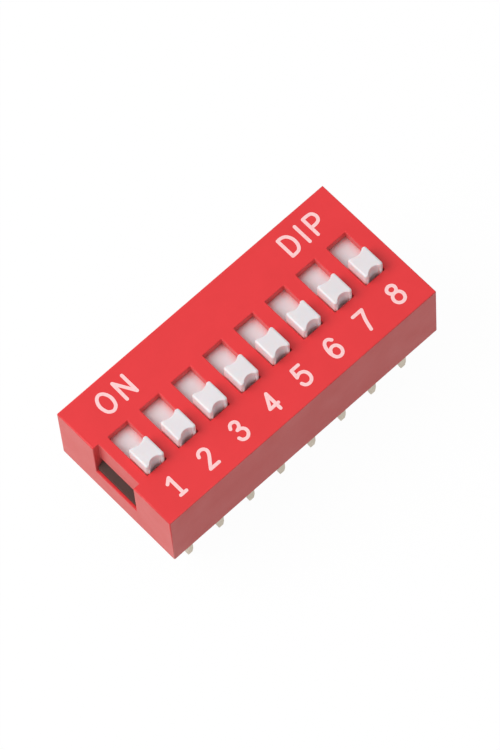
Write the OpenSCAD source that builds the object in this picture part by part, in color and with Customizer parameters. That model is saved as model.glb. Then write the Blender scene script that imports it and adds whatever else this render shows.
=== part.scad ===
// Slide DIP switch for a circuit board: a moulded cover with a row of slots, a base moulded
// round two rows of terminals, and a raised slider with its own bridge contact in each slot.
//
// X runs along the row from position 1 to the last, and +Y is the side where a slider is on.
// Z is up from the seating plane, where the cover's rim meets the board, and the origin is
// the middle of that plane. Each slider is drawn at its off stop.

/* [Row] */
// Number of switch positions
positions = 8; // [1:1:12]
// Distance from one position to the next, and from one terminal to the next
pitch = 2.54; // [2.4:0.01:3.2]
// Distance between the two rows of terminals
row_spacing = 7.62; // [7.4:0.01:9]

/* [Cover] */
// Height of the cover above the seating plane
body_h = 5.4; // [5:0.1:8]
// Thickness of the wall that the slots go through
top_wall = 0.65; // [0.4:0.05:0.9]
// Thickness of the two long walls
side_wall = 0.7; // [0.5:0.02:0.84]
// Thickness of the two end walls
end_wall = 0.95; // [0.8:0.05:1.5]
// Distance from each row of terminals to the outer face of the long wall beside it
row_margin = 1.14; // [1:0.01:1.6]
// Radius of the cover's outer edges
edge_r = 0.08; // [0.04:0.01:0.3]

/* [End pocket and latches] */
// Width of the pocket in the end wall beside position 1
pocket_w = 3.55; // [2:0.05:5]
// Depth of the pocket, from the end face inwards
pocket_d = 0.47; // [0.2:0.01:0.6]
// Height of the wall at the back of the pocket, from the top down to the latch window
pocket_back_h = 2.05; // [1.9:0.05:2.4]
// Height of the window that each latch hooks into
window_h = 1.3; // [0.8:0.05:1.5]
// Thickness of the upright tab that carries each latch
latch_tab_t = 0.3; // [0.2:0.02:0.4]
// Height of the tab above the window
latch_tab_rise = 0.2; // [0:0.05:0.3]
// Height of the square foot of the hook, below its slope
hook_foot_h = 0.45; // [0.2:0.05:0.7]
// Distance from the end face in to the face of the hook
hook_inset = 0.17; // [0.1:0.01:0.4]

/* [Sliders] */
// Width of a knob, across the slot
knob_w = 1.44; // [1.2:0.02:1.7]
// Length of a knob, along the slot
knob_l = 1.64; // [1:0.02:1.8]
// Height of a knob above the cover
knob_h = 0.9; // [0.3:0.05:2]
// Depth of the hollow in the front of a knob, on its off side
front_hollow_d = 0.3; // [0.1:0.01:0.4]
// Depth of the hollow in the back of a knob
back_hollow_d = 0.2; // [0.1:0.01:0.4]
// Width of the flat left on each side of a hollow
horn_w = 0.22; // [0.1:0.01:0.3]
// Radius of the top edges of a knob
knob_edge_r = 0.14; // [0.02:0.01:0.15]
// Radius of the upright corners of a knob
knob_corner_r = 0.12; // [0.02:0.01:0.14]
// Travel of a slider between its two stops
travel = 1.73; // [1.4:0.01:2]
// Thickness of the plate that closes the slot from below
plate_t = 0.75; // [0.5:0.05:0.9]
// Width of the plate under the cover on each side of the slot
plate_lip = 0.17; // [0.1:0.01:0.3]
// Length of the block under the plate that carries the contact
carrier_l = 3.0; // [2:0.1:3.6]
// Radius of the peg that holds the contact
peg_r = 0.2; // [0.12:0.01:0.25]
// Radius of the peg's flattened head
peg_head_r = 0.34; // [0.3:0.01:0.38]
// Thickness of the peg's flattened head
peg_head_t = 0.12; // [0.06:0.02:0.2]

/* [Base] */
// Height of the base's floor, level with the terminal pads
floor_h = 1.75; // [1.5:0.05:1.9]
// Height of the base's underside above the seating plane
underside_h = 0.25; // [0.1:0.05:0.5]
// Width of the pad in the middle of the underside that seats on the board
seat_w = 3.0; // [1.5:0.1:5]
// Distance from each end of that pad to the end of the base
seat_inset = 0.15; // [0.05:0.05:0.2]
// Width of the hollow cored out of that pad under each position
core_w = 1.2; // [0.6:0.05:1.4]
// Wall between each hollow and the long edges of the pad
core_wall = 0.5; // [0.3:0.05:0.7]
// Depth of each hollow, up from the seating plane
core_h = 0.9; // [0.4:0.05:1]

/* [Contacts] */
// Thickness of the contact strip
strip_t = 0.12; // [0.08:0.01:0.16]
// Distance between the two wiping points of a contact
wipe_span = 2.4; // [2.2:0.05:2.8]
// Outer radius of the curl at each wiping point
curl_r = 0.28; // [0.22:0.01:0.32]
// Height of a contact, from its wiping points to its flat top
contact_h = 0.73; // [0.65:0.01:0.9]
// Length of the flat in the middle of a contact
contact_flat_l = 1.0; // [0.8:0.05:1.2]
// Length of the straight tail after each curl
tail_l = 0.2; // [0.1:0.05:0.3]
// Distance from a contact's edge to the edge of the block above it
contact_inset = 0.12; // [0.05:0.01:0.2]

/* [Terminals] */
// Thickness of the terminal strip
terminal_t = 0.25; // [0.2:0.01:0.3]
// Width of the pad that the contact wipes
pad_w = 1.1; // [1:0.05:1.5]
// Length of pad beyond the wiping point when the switch is on
pad_overlap = 0.225; // [0.1:0.025:0.3]
// Distance from the wiping point to the far pad when the switch is off
pad_break = 0.575; // [0.4:0.025:0.8]
// Outer radius of the bend from the pad to the pin
bend_r = 0.4; // [0.32:0.02:0.6]
// Width of a pin
pin_w = 0.52; // [0.4:0.02:0.7]
// Length of a pin below the seating plane
pin_l = 4.0; // [2:0.1:5]
// Width of the flat at a pin's tip
pin_tip_w = 0.34; // [0.2:0.02:0.38]
// Length of the taper at a pin's tip
pin_tip_l = 0.4; // [0.1:0.05:0.8]
// Height of the shoulder where a pin widens inside the base
shoulder_h = 0.8; // [0.4:0.05:1]

/* [Clearances] */
// Gap between a knob and each side of its slot, and above the plate
slide_gap = 0.06; // [0.02:0.01:0.08]
// Gap between a knob and the end of its slot at each stop
stop_gap = 0.045; // [0.02:0.005:0.1]
// Gap on each side of a plate, between the ribs
channel_gap = 0.06; // [0.03:0.01:0.1]
// Gap between a plate's end and the cover's long wall at each stop
plate_end_gap = 0.375; // [0.1:0.025:0.4]
// Gap between the base and the cover
base_gap = 0.03; // [0.01:0.01:0.05]
// Gap round a latch in its window
latch_gap = 0.04; // [0.02:0.01:0.08]
// Gap between the peg and the hole in its contact
peg_gap = 0.02; // [0.01:0.01:0.04]
// Gap between the wiping points and the pads
wipe_gap = 0.02; // [0.01:0.01:0.04]

/* [Hidden] */
$fn = 48;
over = 1; // how far a cut runs past the face it opens

cover_colour = "#e04448";
base_colour = "#26231f";
slider_colour = "#efe9e6";
contact_colour = "#d8b25a";
terminal_colour = "#c3b0a3";

// across a position
slot_w = knob_w + 2 * slide_gap;
plate_w = slot_w + 2 * plate_lip;
channel_w = plate_w + 2 * channel_gap;
carrier_w = channel_w - 2 * (base_gap + latch_tab_t + channel_gap);
contact_w = carrier_w - 2 * contact_inset;

// along a position
body_w = row_spacing + 2 * row_margin;
cavity_w = body_w - 2 * side_wall;
slot_l = knob_l + travel + 2 * stop_gap;
plate_l = cavity_w - travel - 2 * plate_end_gap;
base_w = cavity_w - 2 * base_gap;

// along the row
cavity_l = (positions - 1) * pitch + channel_w;
body_l = cavity_l + 2 * end_wall;
base_l = cavity_l - 2 * base_gap;

// heights
cavity_h = body_h - top_wall;
plate_top = cavity_h - slide_gap;
wipe_h = floor_h + wipe_gap;
carrier_h = wipe_h + contact_h;
window_top = body_h - pocket_back_h;
window_bottom = window_top - window_h;

// width of each hollow of a knob, an arc through both horns
hollow_chord = knob_w - 2 * horn_w;

// arm of a contact, from the end of the flat to the curl it touches
curl_mid_r = curl_r - strip_t / 2;
arm_run = (wipe_span - contact_flat_l) / 2;
arm_drop = contact_h - strip_t / 2 - curl_r;
arm_reach = norm([arm_run, arm_drop]);
arm_angle = atan2(arm_drop, arm_run) + asin(curl_mid_r / arm_reach);
arm_l = sqrt(pow(arm_reach, 2) - pow(curl_mid_r, 2));
tail_angle = 45;

// inner end of each row's pads, measured outwards from the middle of the body
on_side_pad = pad_break + (wipe_span - travel) / 2;
off_side_pad = (wipe_span - travel) / 2 - pad_overlap;

// Middle of position i along the row
function position_x(i) = (i - (positions + 1) / 2) * pitch;

// Terminals are numbered along the off side, then back along the on side
function on_side(k) = k > positions;
function terminal_x(k) = position_x(on_side(k) ? 2 * positions + 1 - k : k);

// Rectangle on the origin with four round corners
module round_rect(w, h, r) {
    square([w - 2 * r, h], center = true);
    square([w, h - 2 * r], center = true);
    for (x = [-1, 1], y = [-1, 1])
        translate([x * (w / 2 - r), y * (h / 2 - r)]) circle(r);
}

// Upright rectangle that stands on the origin, with its two top corners round
module round_top_rect(w, h, r) {
    translate([-w / 2, 0]) square([w, h - r]);
    translate([-w / 2 + r, h - 2 * r]) square([w - 2 * r, 2 * r]);
    for (x = [-1, 1]) translate([x * (w / 2 - r), h - r]) circle(r);
}

// Extrudes an outline drawn in Y and Z along X, about the middle
module along_x(l) {
    rotate([90, 0, 90]) linear_extrude(l, center = true) children();
}

// Extrudes an outline drawn in X and Z along Y, about the middle
module along_y(l) {
    rotate([90, 0, 0]) linear_extrude(l, center = true) children();
}

// Puts a shape at both ends of the row, drawn for the end beside the last position
module at_both_ends() {
    children();
    mirror([1, 0, 0]) children();
}

// ---- cover ----

module cover_block() {
    intersection() {
        linear_extrude(body_h) round_rect(body_l, body_w, edge_r);
        along_y(body_w) round_top_rect(body_l, body_h, edge_r);
        along_x(body_l) round_top_rect(body_w, body_h, edge_r);
    }
}

module slot() {
    translate([0, 0, body_h]) cube([slot_w, slot_l, 2 * (top_wall + over)], center = true);
}

// Pocket beside position 1, open at the top and the end, down to the foot of the window
module end_pocket() {
    translate([-body_l / 2 - over, -pocket_w / 2, window_bottom])
        cube([pocket_d + over, pocket_w, body_h + over - window_bottom]);
}

module latch_window() {
    translate([cavity_l / 2 - over, -pocket_w / 2, window_bottom])
        cube([end_wall + 2 * over, pocket_w, window_h]);
}

module cover() {
    color(cover_colour) difference() {
        cover_block();
        translate([-cavity_l / 2, -cavity_w / 2, -over])
            cube([cavity_l, cavity_w, cavity_h + over]);
        for (i = [1:positions]) translate([position_x(i), 0, 0]) slot();
        end_pocket();
        at_both_ends() latch_window();
    }
}

// ---- base ----

// Rib that keeps two neighbouring sliders apart
module rib() {
    rib_t = pitch - channel_w;
    translate([-rib_t / 2, -base_w / 2, underside_h])
        cube([rib_t, base_w, cavity_h - base_gap - underside_h]);
}

// Upright tab with a sloped hook that snaps into the cover's window
module latch() {
    latch_w = pocket_w - 2 * latch_gap;
    tab_top = window_top + latch_tab_rise;
    hook_d = base_gap + end_wall - hook_inset;
    hook_bottom = window_bottom + latch_gap;
    translate([base_l / 2 - latch_tab_t, -latch_w / 2, underside_h])
        cube([latch_tab_t, latch_w, tab_top - underside_h]);
    translate([base_l / 2, 0, 0]) along_y(latch_w) polygon([
        [-latch_tab_t, hook_bottom],
        [hook_d, hook_bottom],
        [hook_d, hook_bottom + hook_foot_h],
        [0, window_top - latch_gap],
        [-latch_tab_t, window_top - latch_gap]
    ]);
}

module base() {
    color(base_colour) difference() {
        union() {
            translate([-base_l / 2, -base_w / 2, underside_h])
                cube([base_l, base_w, floor_h - underside_h]);
            translate([-base_l / 2 + seat_inset, -seat_w / 2, 0])
                cube([base_l - 2 * seat_inset, seat_w, floor_h]);
            for (i = [1:positions - 1])
                translate([position_x(i) + pitch / 2, 0, 0]) rib();
            at_both_ends() latch();
        }
        for (k = [1:2 * positions]) terminal_at(k, over);
        for (i = [1:positions])
            translate([position_x(i) - core_w / 2, core_wall - seat_w / 2, -over])
                cube([core_w, seat_w - 2 * core_wall, core_h + over]);
    }
}

// ---- sliders ----

// Hollow in the end of a knob on the +Y side of its middle
module hollow(d) {
    hollow_r = (pow(hollow_chord / 2, 2) + pow(d, 2)) / (2 * d);
    translate([0, knob_l / 2 + hollow_r - d]) circle(hollow_r);
}

module knob_outline() {
    difference() {
        round_rect(knob_w, knob_l, knob_corner_r);
        hollow(back_hollow_d);
        mirror([0, 1]) hollow(front_hollow_d);
    }
}

module knob() {
    knob_top = body_h + knob_h;
    intersection() {
        linear_extrude(knob_top) knob_outline();
        along_y(knob_l) round_top_rect(knob_w, knob_top, knob_edge_r);
        along_x(knob_w) round_top_rect(knob_l, knob_top, knob_edge_r);
        translate([-knob_w, -knob_l, plate_top - plate_t / 2])
            cube([2 * knob_w, 2 * knob_l, knob_top]);
    }
}

module slider_solid() {
    knob();
    translate([-plate_w / 2, -plate_l / 2, plate_top - plate_t])
        cube([plate_w, plate_l, plate_t]);
    translate([-carrier_w / 2, -carrier_l / 2, carrier_h])
        cube([carrier_w, carrier_l, plate_top - plate_t / 2 - carrier_h]);
    translate([0, 0, carrier_h - strip_t - peg_head_t]) {
        cylinder(h = peg_head_t, r = peg_head_r);
        cylinder(h = peg_head_t + 2 * strip_t, r = peg_r);
    }
}

module slider(i) {
    color(slider_colour) translate([position_x(i), -travel / 2, 0]) slider_solid();
}

// ---- contacts ----

// One half of the strip, in Y and Z, with the wiping point at height 0
module contact_half_outline() {
    flat_z = contact_h - strip_t / 2;
    translate([0, flat_z - strip_t / 2]) square([contact_flat_l / 2, strip_t]);
    translate([contact_flat_l / 2, flat_z]) {
        circle(d = strip_t);
        rotate(-arm_angle) translate([0, -strip_t / 2]) square([arm_l, strip_t]);
    }
    translate([wipe_span / 2, curl_r]) {
        difference() {
            circle(curl_r);
            circle(curl_r - strip_t);
            rotate(-arm_angle) translate([-2 * curl_r, -2 * curl_r])
                square([2 * curl_r, 4 * curl_r]);
            rotate(tail_angle) translate([0, -2 * curl_r]) square([2 * curl_r, 4 * curl_r]);
        }
        for (a = [-arm_angle, tail_angle])
            rotate(a) translate([0, -curl_mid_r]) circle(d = strip_t);
        rotate(tail_angle) translate([0, -curl_r]) square([tail_l, strip_t]);
    }
}

module contact(i) {
    color(contact_colour) translate([position_x(i), -travel / 2, 0]) difference() {
        translate([0, 0, wipe_h]) along_x(contact_w) {
            contact_half_outline();
            mirror([1, 0]) contact_half_outline();
        }
        translate([0, 0, carrier_h - 2 * strip_t])
            cylinder(h = 3 * strip_t, r = peg_r + peg_gap);
    }
}

// ---- terminals ----

// Side view of a terminal, drawn outwards from the middle of the body and up. The space
// it leaves in the base is the same shape, carried clear of the floor by cut.
module terminal_side(pad_start, cut) {
    outer_face = (row_spacing + terminal_t) / 2;
    bend_at = [outer_face - bend_r, floor_h - bend_r];
    translate([pad_start, floor_h - terminal_t])
        square([bend_at[0] - pad_start, terminal_t + cut]);
    intersection() {
        translate(bend_at) difference() {
            circle(bend_r);
            circle(bend_r - terminal_t);
        }
        translate(bend_at) square(bend_r);
    }
    translate([outer_face - terminal_t, -pin_l]) square([terminal_t, pin_l + bend_at[1]]);
}

// End view of a terminal: the pad's width down to the shoulder, then the pin and its taper
module terminal_front(cut) {
    pad_top = floor_h + cut;
    polygon([
        [-pad_w / 2, pad_top], [-pad_w / 2, shoulder_h],
        [-pin_w / 2, shoulder_h], [-pin_w / 2, pin_tip_l - pin_l],
        [-pin_tip_w / 2, -pin_l], [pin_tip_w / 2, -pin_l],
        [pin_w / 2, pin_tip_l - pin_l], [pin_w / 2, shoulder_h],
        [pad_w / 2, shoulder_h], [pad_w / 2, pad_top]
    ]);
}

module terminal_at(k, cut = 0) {
    pad_start = on_side(k) ? on_side_pad : off_side_pad;
    translate([terminal_x(k), 0, 0]) mirror([0, on_side(k) ? 0 : 1, 0]) intersection() {
        along_x(pad_w) terminal_side(pad_start, cut);
        along_y(2 * row_spacing) terminal_front(cut);
    }
}

module terminal(k) {
    color(terminal_colour) terminal_at(k);
}

cover();
base();
for (i = [1:positions]) {
    slider(i);
    contact(i);
}
for (k = [1:2 * positions])
    terminal(k);
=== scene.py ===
import math

import bmesh
import bpy
from mathutils import Matrix, Quaternion, Vector


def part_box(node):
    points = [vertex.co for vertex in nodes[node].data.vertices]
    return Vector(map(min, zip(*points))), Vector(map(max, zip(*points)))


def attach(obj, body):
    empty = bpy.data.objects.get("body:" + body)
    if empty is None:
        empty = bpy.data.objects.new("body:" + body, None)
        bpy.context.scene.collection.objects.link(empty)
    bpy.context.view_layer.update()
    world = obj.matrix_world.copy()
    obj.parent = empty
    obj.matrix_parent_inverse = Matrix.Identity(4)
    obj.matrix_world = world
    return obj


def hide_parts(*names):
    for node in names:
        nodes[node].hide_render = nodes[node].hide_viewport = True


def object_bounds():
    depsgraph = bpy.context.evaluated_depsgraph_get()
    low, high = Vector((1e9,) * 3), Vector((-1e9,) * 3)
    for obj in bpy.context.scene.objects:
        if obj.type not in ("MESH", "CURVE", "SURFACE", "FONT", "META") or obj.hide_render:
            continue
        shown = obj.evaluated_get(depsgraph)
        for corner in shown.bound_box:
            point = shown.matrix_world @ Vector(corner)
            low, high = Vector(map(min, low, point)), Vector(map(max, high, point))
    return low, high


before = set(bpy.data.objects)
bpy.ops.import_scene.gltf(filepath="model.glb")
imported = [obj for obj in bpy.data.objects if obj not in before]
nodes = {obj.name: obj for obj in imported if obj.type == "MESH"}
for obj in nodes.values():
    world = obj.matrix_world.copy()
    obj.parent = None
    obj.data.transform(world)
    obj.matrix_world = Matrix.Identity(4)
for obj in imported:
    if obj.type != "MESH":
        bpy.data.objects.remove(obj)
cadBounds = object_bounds()
positions = sum(name.startswith("slider_") for name in nodes)
mm = 0.001
scene = bpy.context.scene
print("frame loaded with", len(nodes), "nodes and", positions, "positions")


# helpers for node trees

def addNode(tree, kind, settings=None, inputs=None):
    node = tree.nodes.new(kind)
    for key, value in (settings or {}).items():
        setattr(node, key, value)
    for key, value in (inputs or {}).items():
        if isinstance(value, bpy.types.NodeSocket):
            tree.links.new(value, node.inputs[key])
        else:
            node.inputs[key].default_value = value
    return node


def calc(tree, operation, first, second):
    node = addNode(tree, "ShaderNodeMath", {"operation": operation}, {0: first, 1: second})
    return node.outputs[0]


def spread(tree, value, band, target=(0.0, 1.0)):
    # a mask's values over the band become those over the target, and stop at its ends
    node = addNode(tree, "ShaderNodeMapRange", None,
                   {0: value, 1: band[0], 2: band[1], 3: target[0], 4: target[1]})
    return node.outputs[0]


def blendColours(tree, share, first, second):
    # sockets 6 and 7 of a Mix node are its colours, and output 2 is the mixed one
    node = addNode(tree, "ShaderNodeMix", {"data_type": "RGBA"}, {0: share, 6: first, 7: second})
    return node.outputs[2]


def addNoise(tree, where, scale, look):
    node = addNode(tree, "ShaderNodeTexNoise", None, {"Vector": where, "Scale": scale, **look})
    return node.outputs["Fac"]


def startGroup(name, kind, inputs, outputs):
    tree = bpy.data.node_groups.new(name, kind)
    for label, socketKind, value in inputs:
        socket = tree.interface.new_socket(label, in_out="INPUT", socket_type=socketKind)
        if value is not None:
            socket.default_value = value
    for label, socketKind in outputs:
        tree.interface.new_socket(label, in_out="OUTPUT", socket_type=socketKind)
    begin = tree.nodes.new("NodeGroupInput").outputs
    end = tree.nodes.new("NodeGroupOutput").inputs
    return tree, begin, end


# camera, floor and lights

cameraView = {
    "lens": 242.66,  # mm, on the 36 mm long side
    "azimuth": -37.94,  # degrees, 0 looks along +Y
    "elevation": 65.36,
    "roll": -5.65,
    "distance": 302.92 * mm,
    "target": (-0.123 * mm, -0.214 * mm, 2.7 * mm),
    "nearest": 0.01,  # m, nothing nearer than this is drawn
}

studio = {
    "floorSize": 1.2,  # m
    "floorTint": (0.28, 0.277, 0.272, 1),  # what the floor sends back onto the switch
    "mirroredTint": (1.0, 0.975, 0.93, 1),  # colour of the floor in a reflection
    "seenShadow": 0.03,  # share of its own shading that the floor shows
    "mirroredShadow": 0.32,  # the same in a reflection
    "skyTint": (0.97, 0.985, 1.0, 1),
    "skyStrength": 0.54,
    "lamps": [
        {
            "name": "keyLamp",
            "from": (-0.22, 0.12, 0.30),  # m, and it points at the switch
            "size": 0.32,
            "watts": 1.15,
            "tint": (1, 0.985, 0.97),
        },
        {
            "name": "sideLamp",
            "from": (-0.30, 0.0, 0.10),
            "size": 0.20,
            "watts": 0.05,
            "tint": (1, 0.99, 0.98),
        },
    ],
}


def makeCamera():
    turn = math.radians(cameraView["azimuth"])
    tilt = math.radians(cameraView["elevation"])
    back = Vector((math.sin(turn) * math.cos(tilt), -math.cos(turn) * math.cos(tilt), math.sin(tilt)))
    lensData = bpy.data.cameras.new("camera")
    lensData.lens = cameraView["lens"]
    lensData.clip_start = cameraView["nearest"]
    camera = bpy.data.objects.new("camera", lensData)
    scene.collection.objects.link(camera)
    camera.rotation_mode = "QUATERNION"
    camera.location = Vector(cameraView["target"]) + back * cameraView["distance"]
    roll = Quaternion((0, 0, 1), math.radians(cameraView["roll"]))
    camera.rotation_quaternion = (-back).to_track_quat("-Z", "Y") @ roll
    scene.camera = camera


def makeLamp(spec):
    lampData = bpy.data.lights.new(spec["name"], "AREA")
    lampData.shape = "DISK"
    lampData.size = spec["size"]
    lampData.energy = spec["watts"]
    lampData.color = spec["tint"]
    lamp = bpy.data.objects.new(spec["name"], lampData)
    scene.collection.objects.link(lamp)
    lamp.location = spec["from"]
    lamp.rotation_mode = "QUATERNION"
    lamp.rotation_quaternion = (-lamp.location).to_track_quat("-Z", "Y")


def makeSky():
    # lights the switch softly, and is plain white for the camera and in gloss
    world = bpy.data.worlds.new("studioSky")
    scene.world = world
    world.use_nodes = True
    tree = world.node_tree
    lit = tree.nodes["Background"]
    lit.inputs["Color"].default_value = studio["skyTint"]
    lit.inputs["Strength"].default_value = studio["skyStrength"]
    white = addNode(tree, "ShaderNodeBackground", None, {"Color": (1, 1, 1, 1)})
    path = tree.nodes.new("ShaderNodeLightPath").outputs
    seen = calc(tree, "MAXIMUM", path["Is Camera Ray"], path["Is Glossy Ray"])
    seen = calc(tree, "MAXIMUM", seen, path["Is Transmission Ray"])
    both = addNode(tree, "ShaderNodeMixShader", None, {0: seen, 1: lit.outputs[0], 2: white.outputs[0]})
    tree.links.new(both.outputs[0], tree.nodes["World Output"].inputs["Surface"])


def makeFloor():
    half = studio["floorSize"] / 2
    low = cadBounds[0].z
    mesh = bpy.data.meshes.new("floor")
    corners = [(-half, -half, low), (half, -half, low), (half, half, low), (-half, half, low)]
    mesh.from_pydata(corners, [], [(0, 1, 2, 3)])
    floor = bpy.data.objects.new("floor", mesh)
    scene.collection.objects.link(floor)

    paper = bpy.data.materials.new("whitePaper")
    paper.use_nodes = True
    tree = paper.node_tree
    tree.nodes.remove(tree.nodes["Principled BSDF"])
    path = tree.nodes.new("ShaderNodeLightPath").outputs
    seen = calc(tree, "MAXIMUM", path["Is Camera Ray"], path["Is Transmission Ray"])
    either = calc(tree, "MAXIMUM", seen, path["Is Glossy Ray"])
    plainTint = blendColours(tree, path["Is Glossy Ray"], (1, 1, 1, 1), studio["mirroredTint"])
    colour = blendColours(tree, either, studio["floorTint"], plainTint)
    matte = addNode(tree, "ShaderNodeBsdfDiffuse", None, {"Color": colour})
    glow = addNode(tree, "ShaderNodeEmission", None, {"Color": plainTint})
    plainSeen = calc(tree, "MULTIPLY", seen, 1 - studio["seenShadow"])
    plainMirrored = calc(tree, "MULTIPLY", path["Is Glossy Ray"], 1 - studio["mirroredShadow"])
    plain = calc(tree, "MAXIMUM", plainSeen, plainMirrored)
    both = addNode(tree, "ShaderNodeMixShader", None, {0: plain, 1: matte.outputs[0], 2: glow.outputs[0]})
    tree.links.new(both.outputs[0], tree.nodes["Material Output"].inputs["Surface"])
    mesh.materials.append(paper)


makeCamera()
makeSky()
makeFloor()
for lampSpec in studio["lamps"]:
    makeLamp(lampSpec)
scene.view_settings.view_transform = "Standard"
print("camera, floor, sky and", len(studio["lamps"]), "lamps placed")


# effects that several materials share; a band is the part of a mask that is spread over 0 to 1

grainPattern = {
    "grain": {"Detail": 3.0, "Roughness": 0.6},
    "mottle": {"Detail": 4.0, "Roughness": 0.55},
    "mottleBand": (0.3, 0.7),
}

wearAndHighlightPattern = {
    "samples": 4,
    "turnBand": (0.995, 0.8),  # cosine of how far an edge turns, from no wear and highlight to full
    "patchScale": 2200.0,  # patches to the metre
    "patches": {"Detail": 4.0, "Roughness": 0.65},
    "patchBand": (0.36, 0.6),
    "leastWearAndHighlight": 0.25,  # between the patches
}

dustAndShadePattern = {
    "samples": 4,
    "openBand": (0.85, 0.3),  # share of open space, from none to the full dust and painted shade
    "patchScale": 1500.0,
    "patches": {"Detail": 5.0, "Roughness": 0.7},
    "patchBand": (0.35, 0.65),
}

rollPattern = {
    "lines": {"Detail": 3.0, "Roughness": 0.6},
    "blotches": {"Detail": 4.0, "Roughness": 0.6},
    "blotchBand": (0.35, 0.65),
}


def makeMouldGrain():
    # the fine matt texture of a spark-cut mould, and the slow unevenness of the colour
    tree, begin, end = startGroup("mouldGrain", "ShaderNodeTree", [
        ("Coordinates", "NodeSocketVector", None),
        ("Grain Size", "NodeSocketFloat", 0.06),  # mm
        ("Mottle Size", "NodeSocketFloat", 2.5),  # mm
    ], [
        ("Grain", "NodeSocketFloat"),
        ("Mottle", "NodeSocketFloat"),
    ])
    grainScale = calc(tree, "DIVIDE", 1 / mm, begin["Grain Size"])
    mottleScale = calc(tree, "DIVIDE", 1 / mm, begin["Mottle Size"])
    grain = addNoise(tree, begin["Coordinates"], grainScale, grainPattern["grain"])
    mottle = addNoise(tree, begin["Coordinates"], mottleScale, grainPattern["mottle"])
    tree.links.new(grain, end["Grain"])
    tree.links.new(spread(tree, mottle, grainPattern["mottleBand"]), end["Mottle"])
    return tree


def makeEdgeRub():
    # 1 on an outer edge, broken up by a noise: wear where fingers and trays rub, and a painted highlight
    tree, begin, end = startGroup("edgeWearAndHighlight", "ShaderNodeTree", [
        ("Coordinates", "NodeSocketVector", None),
        ("Reach", "NodeSocketFloat", 0.1),  # mm
    ], [
        ("Wear And Highlight", "NodeSocketFloat"),
    ])
    reach = calc(tree, "MULTIPLY", begin["Reach"], mm)
    rounded = addNode(tree, "ShaderNodeBevel", {"samples": wearAndHighlightPattern["samples"]}, {"Radius": reach})
    facing = tree.nodes.new("ShaderNodeNewGeometry").outputs["Normal"]
    along = addNode(tree, "ShaderNodeVectorMath", {"operation": "DOT_PRODUCT"},
                    {0: rounded.outputs["Normal"], 1: facing})
    edge = spread(tree, along.outputs["Value"], wearAndHighlightPattern["turnBand"])
    patches = addNoise(tree, begin["Coordinates"], wearAndHighlightPattern["patchScale"], wearAndHighlightPattern["patches"])
    broken = spread(tree, patches, wearAndHighlightPattern["patchBand"], (wearAndHighlightPattern["leastWearAndHighlight"], 1.0))
    tree.links.new(calc(tree, "MULTIPLY", edge, broken), end["Wear And Highlight"])
    return tree


def makeSettledDust(name, ownCorners):
    # 1 deep in a corner; the base gets settled dust there, the cover a painted shade, and the sliders a
    # painted red light bounced off the cover
    tree, begin, end = startGroup(name, "ShaderNodeTree", [
        ("Coordinates", "NodeSocketVector", None),
        ("Depth", "NodeSocketFloat", 0.4),  # mm
        ("Evenness", "NodeSocketFloat", 0.2),  # share of it that the patches leave everywhere
    ], [
        ("Dust And Shade", "NodeSocketFloat"),
    ])
    depth = calc(tree, "MULTIPLY", begin["Depth"], mm)
    corner = addNode(tree, "ShaderNodeAmbientOcclusion",
                     {"samples": dustAndShadePattern["samples"], "only_local": ownCorners}, {"Distance": depth})
    closed = spread(tree, corner.outputs["AO"], dustAndShadePattern["openBand"])
    patches = addNoise(tree, begin["Coordinates"], dustAndShadePattern["patchScale"], dustAndShadePattern["patches"])
    broken = spread(tree, patches, dustAndShadePattern["patchBand"], (begin["Evenness"], 1.0))
    tree.links.new(calc(tree, "MULTIPLY", closed, broken), end["Dust And Shade"])
    return tree


def makeRolledStreaks():
    # lines left along a rolled strip, and blotches of its plating
    tree, begin, end = startGroup("rolledStreaks", "ShaderNodeTree", [
        ("Coordinates", "NodeSocketVector", None),
        ("Stretch", "NodeSocketVector", (1.0, 1.0, 0.06)),
        ("Line Size", "NodeSocketFloat", 0.03),  # mm
        ("Blotch Size", "NodeSocketFloat", 0.5),  # mm
    ], [
        ("Streak", "NodeSocketFloat"),
        ("Blotch", "NodeSocketFloat"),
    ])
    pulled = addNode(tree, "ShaderNodeVectorMath", {"operation": "MULTIPLY"},
                     {0: begin["Coordinates"], 1: begin["Stretch"]})
    lineScale = calc(tree, "DIVIDE", 1 / mm, begin["Line Size"])
    blotchScale = calc(tree, "DIVIDE", 1 / mm, begin["Blotch Size"])
    lines = addNoise(tree, pulled.outputs["Vector"], lineScale, rollPattern["lines"])
    blotches = addNoise(tree, begin["Coordinates"], blotchScale, rollPattern["blotches"])
    tree.links.new(lines, end["Streak"])
    tree.links.new(spread(tree, blotches, rollPattern["blotchBand"]), end["Blotch"])
    return tree


mouldGrain = makeMouldGrain()
edgeWearAndHighlight = makeEdgeRub()
settledDustAndShade = makeSettledDust("settledDustAndShade", True)
paintedRedBounce = makeSettledDust("paintedRedBounce", False)  # painted red bounce light and painted shade for the sliders, also near a neighbouring part
rolledStreaks = makeRolledStreaks()
print("shared effects built")


# materials

def startMaterial(name, settings):
    material = bpy.data.materials.new(name)
    material.use_nodes = True
    tree = material.node_tree
    surface = tree.nodes["Principled BSDF"]
    for key, value in settings.items():
        surface.inputs[key].default_value = value
    where = tree.nodes.new("ShaderNodeTexCoord").outputs["Object"]
    return material, tree, surface, where


def useGroup(tree, group, inputs):
    return addNode(tree, "ShaderNodeGroup", {"node_tree": group}, inputs).outputs


def setBump(tree, surface, height, depth):
    bump = addNode(tree, "ShaderNodeBump", None,
                   {"Strength": 1.0, "Distance": depth * mm, "Height": height})
    tree.links.new(bump.outputs["Normal"], surface.inputs["Normal"])


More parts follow.
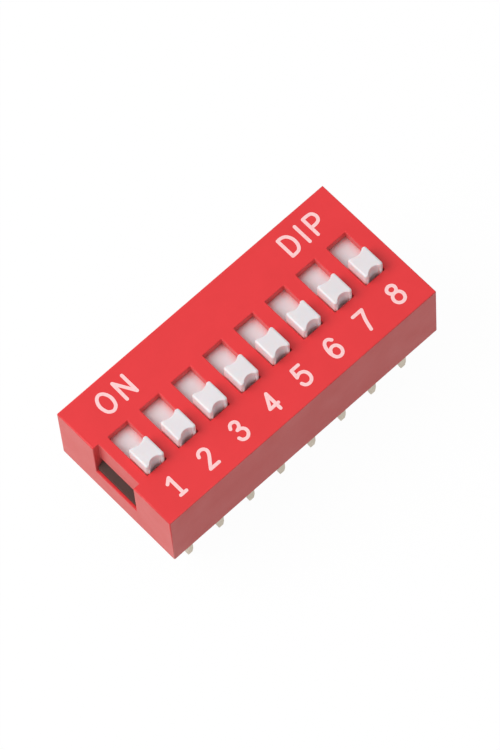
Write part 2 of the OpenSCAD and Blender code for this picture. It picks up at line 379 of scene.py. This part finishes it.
def makeMouldedPlastic(name, look):
    material, tree, surface, where = startMaterial(name, look["surface"])
    grain = useGroup(tree, mouldGrain, {
        "Coordinates": where, "Grain Size": look["grainSize"], "Mottle Size": look["mottleSize"]})
    wearAndHighlight = useGroup(tree, edgeWearAndHighlight, {"Coordinates": where, "Reach": look["wearAndHighlightReach"]})["Wear And Highlight"]
    dustAndShadeGroup = paintedRedBounce if look["dustAndShadeFromNeighbours"] else settledDustAndShade
    dustAndShade = useGroup(tree, dustAndShadeGroup, {
        "Coordinates": where, "Depth": look["dustAndShadeDepth"], "Evenness": look["dustAndShadeEvenness"]})["Dust And Shade"]
    colour = blendColours(tree, grain["Mottle"], look["colour"], look["mottled"])
    # lighter edges: wear, and a painted highlight
    colour = blendColours(tree, calc(tree, "MULTIPLY", wearAndHighlight, look["wearAndHighlightAmount"]), colour, look["rubbedAndHighlit"])
    # painted shade on the cover, painted red bounce light on the sliders, real dust on the base, laid where
    # the corner mask is high
    colour = blendColours(tree, calc(tree, "MULTIPLY", dustAndShade, look["dustAndShadeAmount"]), colour, look["dustAndShade"])
    tree.links.new(colour, surface.inputs["Base Color"])
    dull = spread(tree, grain["Mottle"], (0.0, 1.0), look["roughness"])
    dull = calc(tree, "SUBTRACT", dull, calc(tree, "MULTIPLY", wearAndHighlight, look["polish"]))
    tree.links.new(dull, surface.inputs["Roughness"])
    setBump(tree, surface, grain["Grain"], look["grainDepth"])
    return material


coverLook = {
    "surface": {
        "IOR": 1.5,
        "Sheen Weight": 0.2,
        "Sheen Roughness": 0.5,
        "Sheen Tint": (1.0, 0.96, 0.9, 1),
    },
    "colour": (0.75, 0.020, 0.026, 1),
    "mottled": (0.71, 0.017, 0.022, 1),
    # lighter edge colour: wear, and a painted highlight
    "rubbedAndHighlit": (0.84, 0.10, 0.10, 1),
    "wearAndHighlightAmount": 0.35,
    "wearAndHighlightReach": 0.10,  # mm
    "polish": 0.08,  # how much smoother a rubbed edge is
    # painted shade: a darker red for the cover's corners and recesses
    "dustAndShade": (0.40, 0.015, 0.015, 1),
    "dustAndShadeAmount": 0.4,
    "dustAndShadeEvenness": 0.2,
    "dustAndShadeDepth": 0.35,  # mm
    "dustAndShadeFromNeighbours": False,
    "grainSize": 0.07,  # mm
    "grainDepth": 0.004,  # mm
    "mottleSize": 2.2,  # mm
    "roughness": (0.40, 0.48),
}

sliderLook = {
    "surface": {
        "IOR": 1.5,
        "Sheen Weight": 0.3,
        "Sheen Roughness": 0.5,
        "Subsurface Weight": 0.5,
        "Subsurface Scale": 0.4 * mm,
        "Subsurface Radius": (1.0, 0.6, 0.5),
    },
    "colour": (0.77, 0.74, 0.765, 1),
    "mottled": (0.745, 0.705, 0.72, 1),
    # lighter edge colour: wear, and a painted highlight
    "rubbedAndHighlit": (0.84, 0.83, 0.82, 1),
    "wearAndHighlightAmount": 0.5,
    "wearAndHighlightReach": 0.06,
    "polish": 0.1,
    "dustAndShade": (1.0, 0.07, 0.05, 1),  # painted red light bounced off the cover, which also shades the slider's hollows and corners
    "dustAndShadeAmount": 0.8,
    "dustAndShadeEvenness": 0.6,
    "dustAndShadeDepth": 0.5,
    "dustAndShadeFromNeighbours": True,
    "grainSize": 0.05,
    "grainDepth": 0.003,
    "mottleSize": 1.2,
    "roughness": (0.42, 0.50),
}

baseLook = {
    "surface": {
        "IOR": 1.55,
        "Specular IOR Level": 0.2,
    },
    # the red in this near black is painted red light bounced off the cover
    "colour": (0.050, 0.020, 0.017, 1),
    "mottled": (0.065, 0.028, 0.023, 1),
    # lighter edge colour: wear, and a painted highlight
    "rubbedAndHighlit": (0.09, 0.082, 0.075, 1),
    "wearAndHighlightAmount": 0.6,
    "wearAndHighlightReach": 0.06,
    "polish": 0.1,
    "dustAndShade": (0.16, 0.13, 0.11, 1),
    "dustAndShadeAmount": 0.3,
    "dustAndShadeEvenness": 0.2,
    "dustAndShadeDepth": 0.4,
    "dustAndShadeFromNeighbours": False,
    "grainSize": 0.05,
    "grainDepth": 0.006,
    "mottleSize": 0.7,
    "roughness": (0.50, 0.64),
}

terminalLook = {
    "surface": {"Metallic": 1.0},
    "colour": (0.66, 0.60, 0.51, 1),
    "tarnish": (0.53, 0.46, 0.38, 1),
    "tarnishAmount": 0.55,
    # lighter edge colour: wear, and a painted highlight
    "rubbedAndHighlit": (0.80, 0.76, 0.69, 1),
    "wearAndHighlightAmount": 0.6,
    "wearAndHighlightReach": 0.04,
    "stretch": (1.0, 1.0, 0.05),  # the strip is rolled along Z
    "lineSize": 0.03,
    "blotchSize": 0.45,
    "streakBand": (0.3, 0.7),
    "streakDepth": 0.0015,
    "roughness": (0.24, 0.40),
}

contactLook = {
    "surface": {"Metallic": 1.0},
    "colour": (0.90, 0.66, 0.28, 1),
    "tarnish": (0.66, 0.42, 0.16, 1),
    "tarnishAmount": 0.55,
    # lighter edge colour: wear, and a painted highlight
    "rubbedAndHighlit": (0.97, 0.80, 0.46, 1),
    "wearAndHighlightAmount": 0.6,
    "wearAndHighlightReach": 0.03,
    "stretch": (1.0, 0.08, 0.3),  # the strip is rolled along Y
    "lineSize": 0.025,
    "blotchSize": 0.4,
    "streakBand": (0.3, 0.7),
    "streakDepth": 0.001,
    "roughness": (0.20, 0.34),
}

inkLook = {
    "surface": {"IOR": 1.45},
    "colour": (0.94, 0.60, 0.60, 1),
    "thin": (0.93, 0.42, 0.43, 1),  # where the cover shows through
    "thinBand": (0.52, 0.72),
    "thinAmount": 0.6,
    "patchSize": 0.16,
    "mottleSize": 0.9,
    "roughness": (0.50, 0.62),
    "filmDepth": 0.0025,
}


def makeRolledMetal(name, look):
    material, tree, surface, where = startMaterial(name, look["surface"])
    strip = useGroup(tree, rolledStreaks, {
        "Coordinates": where, "Stretch": look["stretch"],
        "Line Size": look["lineSize"], "Blotch Size": look["blotchSize"]})
    wearAndHighlight = useGroup(tree, edgeWearAndHighlight, {"Coordinates": where, "Reach": look["wearAndHighlightReach"]})["Wear And Highlight"]
    tarnished = calc(tree, "MULTIPLY", strip["Blotch"], look["tarnishAmount"])
    colour = blendColours(tree, tarnished, look["colour"], look["tarnish"])
    # lighter edges: wear, and a painted highlight
    colour = blendColours(tree, calc(tree, "MULTIPLY", wearAndHighlight, look["wearAndHighlightAmount"]), colour, look["rubbedAndHighlit"])
    tree.links.new(colour, surface.inputs["Base Color"])
    dull = spread(tree, strip["Streak"], look["streakBand"], look["roughness"])
    tree.links.new(dull, surface.inputs["Roughness"])
    setBump(tree, surface, strip["Streak"], look["streakDepth"])
    return material


def makePrintInk(name, look):
    material, tree, surface, where = startMaterial(name, look["surface"])
    film = useGroup(tree, mouldGrain, {
        "Coordinates": where, "Grain Size": look["patchSize"], "Mottle Size": look["mottleSize"]})
    thin = spread(tree, film["Grain"], look["thinBand"], (0.0, look["thinAmount"]))
    colour = blendColours(tree, thin, look["colour"], look["thin"])
    tree.links.new(colour, surface.inputs["Base Color"])
    dull = spread(tree, film["Mottle"], (0.0, 1.0), look["roughness"])
    tree.links.new(dull, surface.inputs["Roughness"])
    setBump(tree, surface, film["Grain"], look["filmDepth"])
    return material


coverPlastic = makeMouldedPlastic("coverPlastic", coverLook)
sliderPlastic = makeMouldedPlastic("sliderPlastic", sliderLook)
basePlastic = makeMouldedPlastic("basePlastic", baseLook)
terminalTin = makeRolledMetal("terminalTin", terminalLook)
contactGold = makeRolledMetal("contactGold", contactLook)
printInk = makePrintInk("printInk", inkLook)
print("materials made")


# helpers for meshes

meshRules = {
    "mergeDistance": 0.0005,  # mm, points of a node nearer than this are one
    "flatAngle": 0.4,  # degrees, faces that turn by less are one
    "weldDistance": 0.0002,  # mm, the same for a piece whose edges are already soft
    "sliverWidth": 0.0001,  # mm, what is thinner is taken out
    "sharpAngle": 40.0,  # degrees, an edge that turns by more is shaded sharp
    "faceWeight": 50,  # at 50 each face counts by its area in the shading
    "keepMargin": 0.02,  # mm, round each box whose edges stay as they are
}


def newPiece(name, mesh, material, body, stands):
    mesh.name = name
    mesh.materials.clear()
    mesh.materials.append(material)
    piece = bpy.data.objects.new(name, mesh)
    scene.collection.objects.link(piece)
    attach(piece, body)
    if stands:
        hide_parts(*stands)


def repeatPiece(name, mesh, material, node):
    # a copy for each position, placed as its own node is
    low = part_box(f"{node}_1")[0]
    for i in range(1, positions + 1):
        copy = mesh.copy()
        copy.transform(Matrix.Translation(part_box(f"{node}_{i}")[0] - low))
        newPiece(f"{name}_{i}", copy, material, f"switch_{i}", [f"{node}_{i}"])
    bpy.data.meshes.remove(mesh)


def bakeModifiers(holder):
    # plain mesh of what the holder's modifiers make, and the holder is gone afterwards
    bpy.context.view_layer.update()
    graph = bpy.context.evaluated_depsgraph_get()
    mesh = bpy.data.meshes.new_from_object(holder.evaluated_get(graph), depsgraph=graph)
    source = holder.data
    bpy.data.objects.remove(holder)
    bpy.data.meshes.remove(source)
    return mesh


def smoothShade(mesh):
    # soft edges shade softly, and the flats beside them stay flat
    mesh.shade_smooth()
    mesh.set_sharp_from_angle(angle=math.radians(meshRules["sharpAngle"]))
    holder = bpy.data.objects.new("holder", mesh)
    scene.collection.objects.link(holder)
    weighted = holder.modifiers.new("weighted", "WEIGHTED_NORMAL")
    weighted.mode = "FACE_AREA"
    weighted.weight = meshRules["faceWeight"]
    weighted.keep_sharp = True
    return bakeModifiers(holder)


def inside(point, boxes, margin):
    for low, high in boxes:
        if all(low[k] - margin <= point[k] <= high[k] + margin for k in range(3)):
            return True
    return False


def softenEdges(work, shape, keepBoxes=()):
    # rounds the edges that turn by more than softAngle, except those in keepBoxes
    leastTurn = math.radians(shape["softAngle"])
    chosen = []
    for edge in work.edges:
        if len(edge.link_faces) != 2 or edge.calc_face_angle(0) < leastTurn:
            continue
        middle = (edge.verts[0].co + edge.verts[1].co) / 2
        if not inside(middle, keepBoxes, meshRules["keepMargin"] * mm):
            chosen.append(edge)
    bmesh.ops.bevel(work, geom=chosen, offset=shape["softEdge"] * mm, offset_type="OFFSET",
                    segments=shape["softSteps"], profile=0.5, affect="EDGES",
                    clamp_overlap=False, miter_outer="SHARP")


def joinFlats(work):
    bmesh.ops.dissolve_limit(work, angle_limit=math.radians(meshRules["flatAngle"]),
                             verts=work.verts, edges=work.edges)


def solidCopy(node):
    # a node's triangles, merged into the flat faces that they are parts of
    work = bmesh.new()
    work.from_mesh(nodes[node].data)
    bmesh.ops.remove_doubles(work, verts=work.verts, dist=meshRules["mergeDistance"] * mm)
    joinFlats(work)
    return work


def takeMesh(work, name):
    mesh = bpy.data.meshes.new(name)
    work.to_mesh(mesh)
    work.free()
    return mesh


def finishMesh(work, name):
    bmesh.ops.remove_doubles(work, verts=work.verts, dist=meshRules["weldDistance"] * mm)
    bmesh.ops.dissolve_degenerate(work, edges=work.edges, dist=meshRules["sliverWidth"] * mm)
    return smoothShade(takeMesh(work, name))


# cover

coverShape = {
    "softEdge": 0.05,  # mm, radius left by the mould on inner edges
    "softSteps": 3,
    "softAngle": 75,  # degrees, an edge that turns by less stays as it is
}


def makeCover():
    work = solidCopy("cover")
    softenEdges(work, coverShape)
    newPiece("coverMoulding", finishMesh(work, "cover"), coverPlastic, "housing", ["cover"])


makeCover()
print("cover made")


# base

baseShape = {
    "softEdge": 0.03,  # mm
    "softSteps": 2,
    "softAngle": 25,  # degrees
}


def makeBase():
    # the plastic fits close round the terminals, so the edges there stay as they are
    work = solidCopy("base")
    terminals = [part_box(name) for name in nodes if name.startswith("terminal_")]
    softenEdges(work, baseShape, terminals)
    newPiece("baseMoulding", finishMesh(work, "base"), basePlastic, "housing", ["base"])


makeBase()
print("base made")


# sliders

sliderShape = {
    "knobWidth": 1.44,  # mm, across the slot
    "knobLength": 1.64,  # along the slot
    "frontHollow": 0.27,  # depth of the hollow in the front
    "backHollow": 0.20,
    "hornWidth": 0.22,  # flat beside each hollow
    "hollowEdge": 0.05,  # radius of a hollow's top edge
    "edgeSteps": 4,
    "hollowSteps": 72,  # of a whole turn
    "cutterRise": 1.0,  # how far the cutter stands over the knob
    "cornerRound": 0.145,  # of the upright edges, more than topRound
    "topRound": 0.14,
    "roundSteps": 8,
    "plateTop": 4.69,  # height of the plate that the knob stands on
    "knobSunk": 0.3,  # how far the knob goes into the plate
    "softEdge": 0.04,  # of the plate, block and peg
    "softSteps": 2,
    "softAngle": 75,  # degrees
}


def ringMesh(name, rings):
    # closed mesh through rings of points that lie one above the other
    work = bmesh.new()
    placed = [[work.verts.new(point) for point in ring] for ring in rings]
    for lower, upper in zip(placed, placed[1:]):
        for k in range(len(lower)):
            following = (k + 1) % len(lower)
            work.faces.new((lower[k], lower[following], upper[following], upper[k]))
    work.faces.new(placed[-1])
    work.faces.new(list(reversed(placed[0])))
    return takeMesh(work, name)


def quarterRound(radius, steps):
    # (inset, drop) along a rounded edge, from its upright side up to its level top
    turns = [math.pi / 2 * n / steps for n in range(steps + 1)]
    return [(radius * (1 - math.cos(turn)), radius * (1 - math.sin(turn))) for turn in turns]


def knobBlock(shape, middle, top):
    # the knob before its hollows are cut
    corner = shape["cornerRound"]
    across = shape["knobWidth"] / 2 - corner
    along = shape["knobLength"] / 2 - corner
    steps = shape["roundSteps"]
    levels = [(0.0, shape["plateTop"] - shape["knobSunk"])]
    for inset, drop in quarterRound(shape["topRound"], steps):
        levels.append((inset, top / mm - drop))
    rings = []
    for inset, height in levels:
        ring = []
        for quarter in range(4):
            x = across if quarter in (0, 3) else -across
            y = along if quarter < 2 else -along
            for n in range(steps + 1):
                turn = math.pi / 2 * (quarter + n / steps)
                ring.append((middle.x + (x + (corner - inset) * math.cos(turn)) * mm,
                             middle.y + (y + (corner - inset) * math.sin(turn)) * mm, height * mm))
        rings.append(ring)
    return ringMesh("knob", rings)


def hollowCutter(shape, middle, top, depth, side):
    # upright cylinder that flares at the top, so that the hollow's edge comes out round
    halfHollow = shape["knobWidth"] / 2 - shape["hornWidth"]
    radius = (halfHollow ** 2 + depth ** 2) / (2 * depth)
    levels = [(radius, shape["plateTop"] - 2 * shape["knobSunk"])]
    for flare, drop in quarterRound(shape["hollowEdge"], shape["edgeSteps"]):
        levels.append((radius + flare, top / mm - drop))
    levels.append((radius + shape["hollowEdge"], top / mm + shape["cutterRise"]))
    y = side * (shape["knobLength"] / 2 + radius - depth)
    rings = []
    for reach, height in levels:
        ring = []
        for n in range(shape["hollowSteps"]):
            turn = 2 * math.pi * n / shape["hollowSteps"]
            ring.append((middle.x + reach * math.cos(turn) * mm,
                         middle.y + (y + reach * math.sin(turn)) * mm, height * mm))
        rings.append(ring)
    return ringMesh("hollow", rings)


def plateMesh(node):
    # the slider's plate, block and peg, with the knob taken off level with the plate
    work = solidCopy(node)
    level = Vector((0, 0, sliderShape["plateTop"] * mm))
    bmesh.ops.bisect_plane(work, geom=work.verts[:] + work.edges[:] + work.faces[:],
                           dist=meshRules["mergeDistance"] * mm, plane_co=level,
                           plane_no=(0, 0, 1), clear_outer=True)
    rim = [edge for edge in work.edges if edge.is_boundary]
    bmesh.ops.holes_fill(work, edges=rim)
    bmesh.ops.recalc_face_normals(work, faces=work.faces)
    joinFlats(work)
    softenEdges(work, sliderShape)
    return takeMesh(work, "plate")


def combined(first, second, operation):
    holder = bpy.data.objects.new("holder", first)
    other = bpy.data.objects.new("other", second)
    scene.collection.objects.link(holder)
    scene.collection.objects.link(other)
    step = holder.modifiers.new("step", "BOOLEAN")
    step.operation = operation
    step.solver = "EXACT"
    step.object = other
    mesh = bakeModifiers(holder)
    bpy.data.objects.remove(other)
    bpy.data.meshes.remove(second)
    return mesh


def makeSliders():
    low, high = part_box("slider_1")
    middle = (low + high) / 2
    knob = knobBlock(sliderShape, middle, high.z)
    for depth, side in ((sliderShape["frontHollow"], -1), (sliderShape["backHollow"], 1)):
        knob = combined(knob, hollowCutter(sliderShape, middle, high.z, depth, side), "DIFFERENCE")
    whole = smoothShade(combined(plateMesh("slider_1"), knob, "UNION"))
    repeatPiece("sliderMoulding", whole, sliderPlastic, "slider")


makeSliders()
print(positions, "sliders made")


# contacts

contactShape = {
    "softEdge": 0.015,  # mm
    "softSteps": 2,
    "softAngle": 60,  # degrees
}


def makeContacts():
    work = solidCopy("contact_1")
    softenEdges(work, contactShape)
    repeatPiece("bridgeContact", finishMesh(work, "contact"), contactGold, "contact")


makeContacts()
print(positions, "contacts made")


# terminals

terminalShape = {
    "softEdge": 0.03,  # mm, left by the stamping and the plating
    "softSteps": 2,
    "softAngle": 60,  # degrees
}


def makeRowTree():
    # repeats the terminal it is given along the row
    tree, begin, end = startGroup("terminalRow", "GeometryNodeTree", [
        ("Geometry", "NodeSocketGeometry", None),
        ("Count", "NodeSocketInt", 8),
        ("Step", "NodeSocketFloat", 2.54 * mm),
        ("Metal", "NodeSocketMaterial", None),
    ], [
        ("Geometry", "NodeSocketGeometry"),
    ])
    step = addNode(tree, "ShaderNodeCombineXYZ", None, {"X": begin["Step"]})
    line = addNode(tree, "GeometryNodeMeshLine", {"mode": "OFFSET"},
                   {"Count": begin["Count"], "Offset": step.outputs[0]})
    row = addNode(tree, "GeometryNodeInstanceOnPoints", None,
                  {"Points": line.outputs["Mesh"], "Instance": begin["Geometry"]})
    real = addNode(tree, "GeometryNodeRealizeInstances", None, {"Geometry": row.outputs["Instances"]})
    metal = addNode(tree, "GeometryNodeSetMaterial", None,
                    {"Geometry": real.outputs["Geometry"], "Material": begin["Metal"]})
    tree.links.new(metal.outputs["Geometry"], end["Geometry"])
    return tree


def runTree(mesh, tree, values):
    holder = bpy.data.objects.new("holder", mesh)
    scene.collection.objects.link(holder)
    modifier = holder.modifiers.new("maker", "NODES")
    modifier.node_group = tree
    for item in tree.interface.items_tree:
        if item.in_out == "INPUT" and item.name in values:
            modifier[item.identifier] = values[item.name]
    return bakeModifiers(holder)


def makeTerminalRows():
    # both rows run from left to right, though the terminals' numbers go round
    tree = makeRowTree()
    rows = {
        "terminalsOffSide": [f"terminal_{k}" for k in range(1, positions + 1)],
        "terminalsOnSide": [f"terminal_{k}" for k in range(2 * positions, positions, -1)],
    }
    for name, members in rows.items():
        work = solidCopy(members[0])
        softenEdges(work, terminalShape)
        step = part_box(members[1])[0].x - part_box(members[0])[0].x
        mesh = runTree(finishMesh(work, "terminal"), tree,
                       {"Count": positions, "Step": step, "Metal": terminalTin})
        newPiece(name, mesh, terminalTin, "housing", members)


makeTerminalRows()
print(2 * positions, "terminals made")


# printing on the cover

lettering = {
    "strokeWidth": 0.22,  # mm
    "filmHeight": 0.012,
    "filmSunk": 0.006,  # how much of it is in the cover
    "capHeight": 1.36,  # of the middle line of a letter
    "digitHeight": 1.32,
    "narrowing": 0.92,  # share of each letter's drawn width
    "capLine": 3.42,  # distance from the middle of the cover to the middle of the letters
    "digitLine": -3.365,
    "digitStep": 2.56,
    "digitShift": 0.035,
    "words": {"O": -8.25, "N": -6.78, "D": 6.715, "I": 7.725, "P": 8.775},  # places along X
    "curveStep": 0.05,
    "endSides": 24,  # of the round end of a stroke
}

# middle lines of the strokes, in hundredths of the letter's height, across from its middle and
# up from its foot; one that ends where it starts is closed
penStrokes = {
    "1": [[(-23, 79), (4, 100)], [(4, 100), (4, 0)], [(-14, 0), (23, 0)]],
    "2": [[(-27, 77), (-19, 93), (0, 100), (19, 93), (26, 76), (17, 55), (-5, 28), (-27, 0)],
          [(-27, 0), (28, 0)]],
    "3": [[(-26, 80), (-16, 95), (0, 100), (16, 93), (20, 78), (11, 62), (-6, 55)],
          [(-6, 55), (14, 51), (28, 36), (26, 15), (10, 1), (-7, 0), (-21, 7), (-28, 22)]],
    "4": [[(16, 97), (16, 0)], [(16, 97), (-25, 28)], [(-25, 28), (29, 28)]],
    "5": [[(-21, 100), (24, 100)], [(-21, 100), (-26, 57)],
          [(-26, 57), (-10, 65), (6, 65), (22, 56), (30, 37), (26, 15), (11, 2), (-8, 0), (-23, 7),
           (-31, 22)]],
    "6": [[(24, 85), (12, 98), (-4, 100), (-20, 88), (-29, 62), (-30, 34), (-21, 9), (-1, 0),
           (19, 7), (29, 27), (23, 49), (5, 59), (-15, 54), (-29, 36)]],
    "7": [[(-29, 100), (30, 100)], [(30, 100), (8, 52), (-7, 0)]],
    "8": [[(0, 100), (18, 93), (24, 79), (17, 64), (0, 57), (-17, 64), (-24, 79), (-18, 93), (0, 100)],
          [(0, 57), (21, 50), (30, 29), (21, 8), (0, 0), (-21, 8), (-30, 29), (-21, 50), (0, 57)]],
    "O": [[(0, 100), (20, 91), (33, 68), (35, 42), (25, 13), (0, 0), (-25, 13), (-35, 42), (-33, 68),
           (-20, 91), (0, 100)]],
    "N": [[(-32, 0), (-30, 100)], [(-30, 100), (32, 0)], [(32, 0), (32, 100)]],
    "D": [[(-31, 0), (-31, 100)],
          [(-31, 100), (-8, 100), (14, 90), (28, 68), (31, 44), (25, 20), (10, 4), (-12, 0), (-31, 0)]],
    "I": [[(0, 0), (0, 100)]],
    "P": [[(-30, 0), (-30, 100)], [(-30, 100), (0, 100), (21, 94), (31, 74), (25, 54), (6, 45), (-30, 44)]],
}


def makePenTree():
    # lays a flat bar of ink with round ends along each stroke
    tree, begin, end = startGroup("penStroke", "GeometryNodeTree", [
        ("Geometry", "NodeSocketGeometry", None),
        ("Stroke Width", "NodeSocketFloat", 0.22 * mm),
        ("Film Height", "NodeSocketFloat", 0.012 * mm),
        ("Curve Step", "NodeSocketFloat", 0.05 * mm),
        ("End Sides", "NodeSocketInt", 24),
        ("Ink", "NodeSocketMaterial", None),
    ], [
        ("Geometry", "NodeSocketGeometry"),
    ])
    lines = addNode(tree, "GeometryNodeMeshToCurve", None, {"Mesh": begin["Geometry"]})
    bent = addNode(tree, "GeometryNodeCurveSplineType", {"spline_type": "CATMULL_ROM"},
                   {"Curve": lines.outputs["Curve"]})
    even = addNode(tree, "GeometryNodeResampleCurve", {"mode": "LENGTH"},
                   {"Curve": bent.outputs["Curve"], "Length": begin["Curve Step"]})
    level = addNode(tree, "GeometryNodeSetCurveNormal", {"mode": "Z_UP"}, {"Curve": even.outputs["Curve"]})
    bar = addNode(tree, "GeometryNodeCurvePrimitiveQuadrilateral", {"mode": "RECTANGLE"},
                  {"Width": begin["Stroke Width"], "Height": begin["Film Height"]})
    swept = addNode(tree, "GeometryNodeCurveToMesh", None,
                    {"Curve": level.outputs["Curve"], "Profile Curve": bar.outputs["Curve"],
                     "Fill Caps": True})
    ends = addNode(tree, "GeometryNodeCurveEndpointSelection")
    radius = calc(tree, "MULTIPLY", begin["Stroke Width"], 0.5)
    disc = addNode(tree, "GeometryNodeMeshCylinder", {"fill_type": "NGON"},
                   {"Vertices": begin["End Sides"], "Radius": radius, "Depth": begin["Film Height"]})
    caps = addNode(tree, "GeometryNodeInstanceOnPoints", None,
                   {"Points": level.outputs["Curve"], "Selection": ends.outputs["Selection"],
                    "Instance": disc.outputs["Mesh"]})
    parts = tree.nodes.new("GeometryNodeJoinGeometry")
    tree.links.new(swept.outputs["Mesh"], parts.inputs["Geometry"])
    tree.links.new(caps.outputs["Instances"], parts.inputs["Geometry"])
    real = addNode(tree, "GeometryNodeRealizeInstances", None, {"Geometry": parts.outputs["Geometry"]})
    whole = addNode(tree, "GeometryNodeMeshBoolean", {"operation": "UNION", "solver": "EXACT"},
                    {"Mesh 2": real.outputs["Geometry"], "Self Intersection": True})
    clean = addNode(tree, "GeometryNodeMergeByDistance", None,
                    {"Geometry": whole.outputs["Mesh"], "Distance": meshRules["sliverWidth"] * mm})
    flat = addNode(tree, "GeometryNodeSetShadeSmooth", None,
                   {"Geometry": clean.outputs["Geometry"], "Shade Smooth": False})
    ink = addNode(tree, "GeometryNodeSetMaterial", None,
                  {"Geometry": flat.outputs["Geometry"], "Material": begin["Ink"]})
    tree.links.new(ink.outputs["Geometry"], end["Geometry"])
    return tree


def strokeLines(placed, height):
    # edge chains for the strokes of (letter, x, y), with y the middle of the letter
    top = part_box("cover")[1].z
    level = top + (lettering["filmHeight"] / 2 - lettering["filmSunk"]) * mm
    points, edges = [], []
    for letter, x, y in placed:
        for stroke in penStrokes[letter]:
            closed = stroke[0] == stroke[-1]
            own = stroke[:-1] if closed else stroke
            first = len(points)
            for across, up in own:
                shift = across / 100 * height * lettering["narrowing"]
                points.append(((x + shift) * mm, (y + (up / 100 - 0.5) * height) * mm, level))
            edges += [(first + k, first + k + 1) for k in range(len(own) - 1)]
            if closed:
                edges.append((len(points) - 1, first))
    return points, edges


def makeLettering():
    tree = makePenTree()
    middle = (positions + 1) / 2
    digits = []
    for i in range(1, positions + 1):
        x = (i - middle) * lettering["digitStep"] + lettering["digitShift"]
        digits.append((str(i), x, lettering["digitLine"]))
    caps = [(letter, x, lettering["capLine"]) for letter, x in lettering["words"].items()]
    for name, placed, height in (("printedNumbers", digits, lettering["digitHeight"]),
                                 ("printedWords", caps, lettering["capHeight"])):
        points, edges = strokeLines(placed, height)
        lines = bpy.data.meshes.new(name)
        lines.from_pydata(points, edges, [])
        mesh = runTree(lines, tree, {
            "Stroke Width": lettering["strokeWidth"] * mm,
            "Film Height": lettering["filmHeight"] * mm,
            "Curve Step": lettering["curveStep"] * mm,
            "End Sides": lettering["endSides"],
            "Ink": printInk,
        })
        newPiece(name, mesh, printInk, "housing", [])


makeLettering()
print("lettering made")
